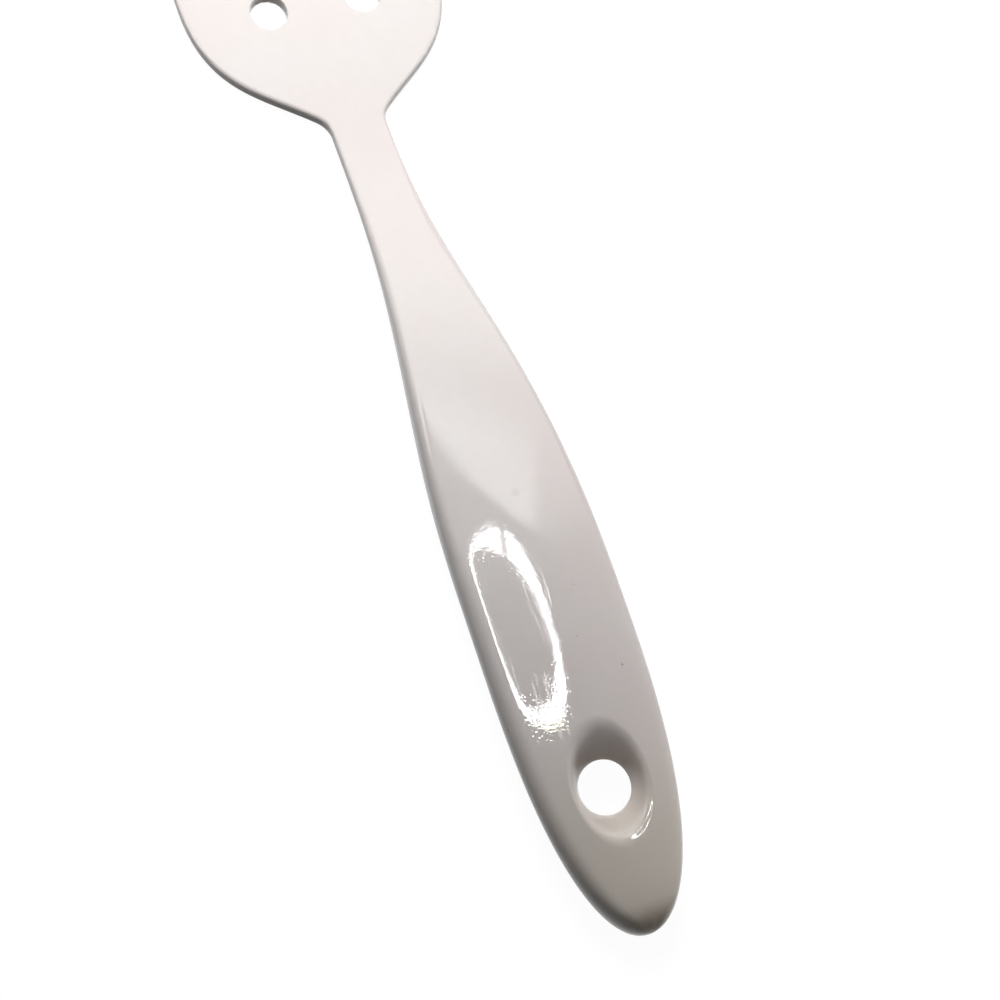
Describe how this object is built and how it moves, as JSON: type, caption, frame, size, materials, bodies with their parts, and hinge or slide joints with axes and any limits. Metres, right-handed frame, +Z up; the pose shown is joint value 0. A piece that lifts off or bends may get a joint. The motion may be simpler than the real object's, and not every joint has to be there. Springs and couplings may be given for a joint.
{
  "type": "slotted turner",
  "caption": "White moulded kitchen turner: flat drain-holed head on a slim bent neck, full leaf-shaped hollow handle with a back cover and a flared hanging hole.",
  "frame": {"origin": "on the table below the middle of the overall length, where the underside of the blade lies", "axes": "+Y along the turner towards the front edge of the head, +X across it to the right seen from the handle, +Z up"},
  "size_m": [0.07, 0.305, 0.0218],
  "materials": {
    "white_plastic": "glossy white moulding with fine wear scratches",
    "cover_plastic": "glossy white moulding, a little duller than the body",
    "core_steel": "rolled strip, unpolished"
  },
  "bodies": {
    "root": {"turner_body": "white_plastic", "handle_back_cover": "cover_plastic", "neck_core": "core_steel"}
  },
  "joints": []
}
